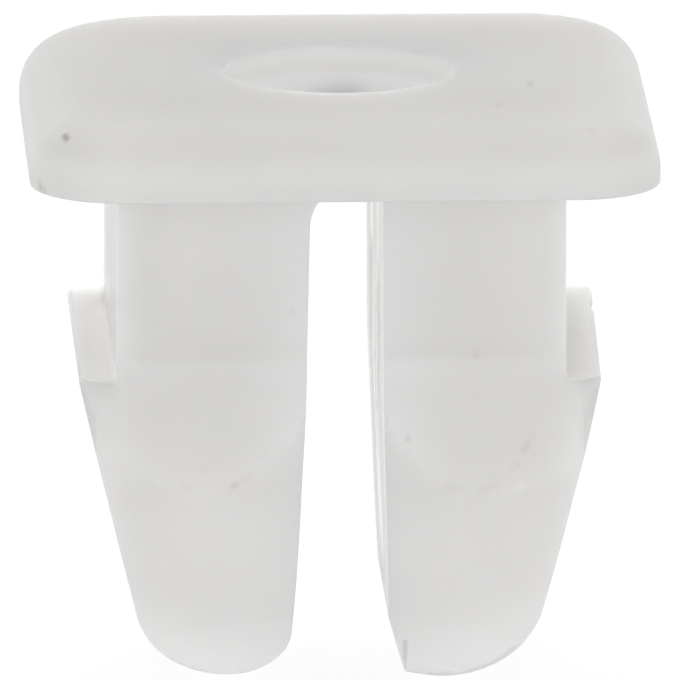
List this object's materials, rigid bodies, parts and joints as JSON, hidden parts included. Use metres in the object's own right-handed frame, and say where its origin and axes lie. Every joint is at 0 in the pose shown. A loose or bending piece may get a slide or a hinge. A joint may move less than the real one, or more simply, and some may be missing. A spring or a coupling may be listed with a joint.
{
  "type": "panel retainer clip",
  "caption": "Square-headed plastic panel clip: screw hole in the head, square neck for a panel hole, split stem with tapered barbed legs that snap in",
  "frame": {"origin": "on the screw hole's axis, in the plane of the head's underside that rests on the panel", "axes": "+Z out of the head, the way the screw leaves; -Z along the legs into the panel; X across the slot from leg to leg; Y along the slot, -Y to the front in the picture"},
  "size_m": [0.0139, 0.014, 0.0136],
  "materials": {
    "nylon": "natural white moulded nylon, soft satin, slightly grey with handling"
  },
  "bodies": {
    "root": {"retainer_clip": "nylon"}
  },
  "joints": []
}
